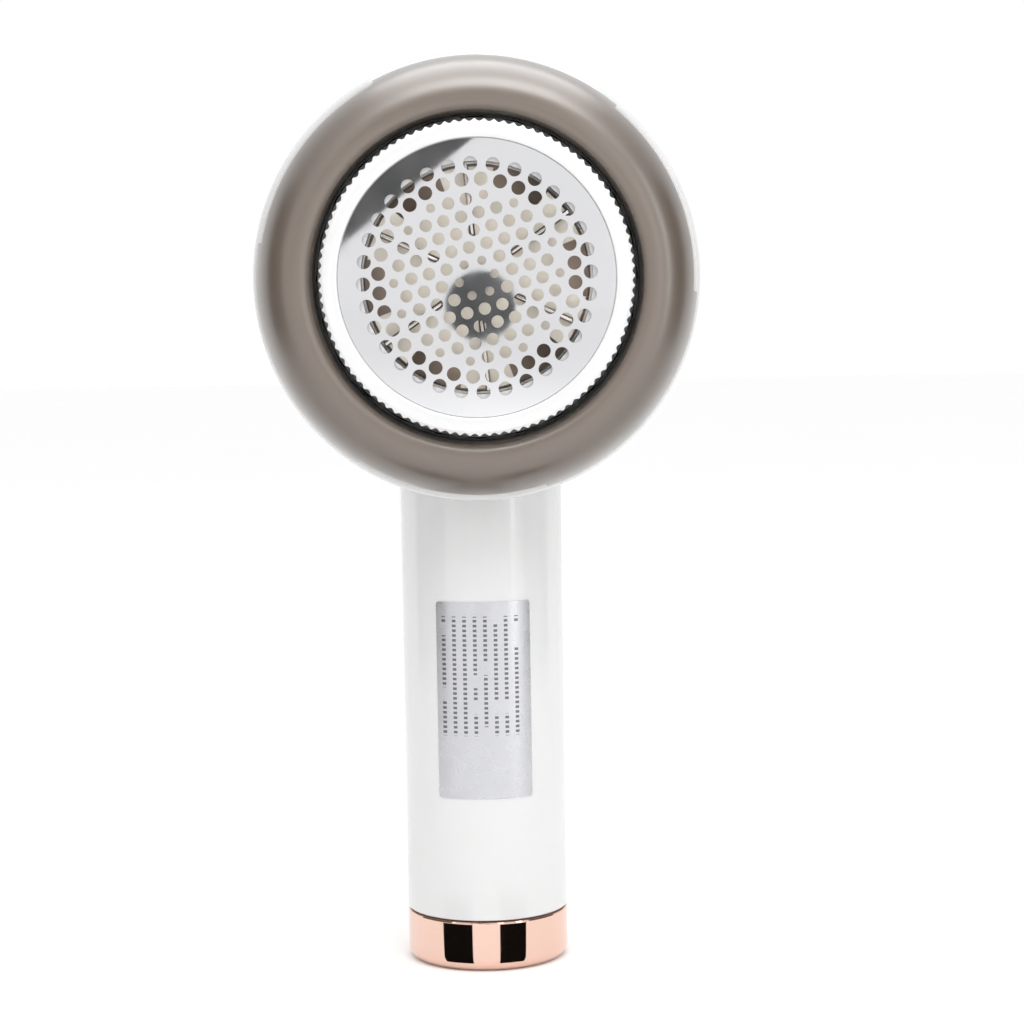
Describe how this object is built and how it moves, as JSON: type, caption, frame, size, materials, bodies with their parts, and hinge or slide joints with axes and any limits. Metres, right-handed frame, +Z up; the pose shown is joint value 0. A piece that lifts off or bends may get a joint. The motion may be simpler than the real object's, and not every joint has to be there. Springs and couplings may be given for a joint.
{
  "type": "fabric shaver",
  "caption": "Rechargeable fabric shaver: round perforated foil in a toothed ring, pull-off smoky lint bin, spinning blades, cylindrical handle with a plated foot.",
  "frame": {"origin": "centre of the foot cap's flat underside, on the handle's axis", "axes": "+Z up the handle, -Y out of the cutter face, +X to the right seen from the front"},
  "size_m": [0.086, 0.0544, 0.179],
  "materials": {
    "white_shell": "gloss white ABS",
    "rose_gold": "rose-gold plated, polished",
    "smoke_bin": "smoky brown translucent",
    "foil_mirror": "polished stainless steel",
    "cream_plastic": "cream moulded",
    "steel": "ground steel",
    "brown_shield": "brown moulded",
    "seal_rubber": "matt",
    "black_plastic": "moulded",
    "brass": "machined",
    "grey_plastic": "moulded",
    "cell_wrap": "shrink wrap",
    "board": "solder mask",
    "red_wire": "insulation",
    "black_wire": "insulation",
    "label_silver": "satin silver film",
    "light_clear": "clear moulded"
  },
  "bodies": {
    "handle_body": {"base_cap": "rose_gold", "battery_carrier": "grey_plastic", "battery_cell": "cell_wrap", "battery_lead": "black_wire", "bin_seal": "seal_rubber", "body_shell": "white_shell", "button_bezel": "rose_gold", "button_spring": "steel", "charge_board": "board", "charge_lead": "red_wire", "charge_light": "light_clear", "charge_socket": "black_plastic", "circuit_board": "board", "contact_minus": "steel", "contact_plus": "steel", "cutter_seat": "cream_plastic", "deck_screw_1": "steel", "deck_screw_2": "steel", "deck_screw_3": "steel", "dust_shield": "brown_shield", "foil": "foil_mirror", "front_deck": "white_shell", "label": "label_silver", "motor_bush": "brass", "motor_can": "steel", "motor_end_bell": "black_plastic", "motor_lead_black": "black_wire", "motor_lead_red": "red_wire", "motor_magnet_1": "black_plastic", "motor_magnet_2": "black_plastic", "motor_screw_1": "steel", "motor_screw_2": "steel", "motor_terminal_1": "brass", "motor_terminal_2": "brass", "switch_housing": "black_plastic"},
    "bin": {"lint_bin": "smoke_bin", "bin_base": "smoke_bin"},
    "cutter_ring": {"knurled_ring": "white_shell"},
    "spinner": {"rotor": "cream_plastic", "blade_1": "steel", "blade_2": "steel", "blade_3": "steel", "blade_4": "steel", "blade_5": "steel", "blade_6": "steel", "rotor_cap": "steel", "motor_shaft": "steel", "armature": "brass"},
    "button": {"button_cap": "white_shell"},
    "plunger": {"switch_plunger": "cream_plastic"}
  },
  "joints": [
    {"name": "rotor_spin", "type": "hinge", "parent": "handle_body", "child": "spinner", "pos_m": [0, 0, 0.136], "axis": [0, -1, 0], "continuous": true},
    {"name": "bin_pull", "type": "slide", "parent": "handle_body", "child": "bin", "axis": [0, -1, 0], "range_m": [0, 0.04]},
    {"name": "ring_turn", "type": "hinge", "parent": "handle_body", "child": "cutter_ring", "pos_m": [0, 0, 0.136], "axis": [0, -1, 0], "range_deg": [0, 60]},
    {"name": "button_press", "type": "slide", "parent": "handle_body", "child": "button", "axis": [0, -1, 0], "range_m": [0, 0.001], "stiffness_N_per_m": 600, "springref_m": -0.001, "deforming": ["button_spring"]},
    {"name": "plunger_press", "type": "slide", "parent": "handle_body", "child": "plunger", "axis": [0, -1, 0], "range_m": [0, 0.001]}
  ],
  "couplings": [
    {"joint": "plunger_press", "follows": "button_press", "ratio": 1}
  ]
}
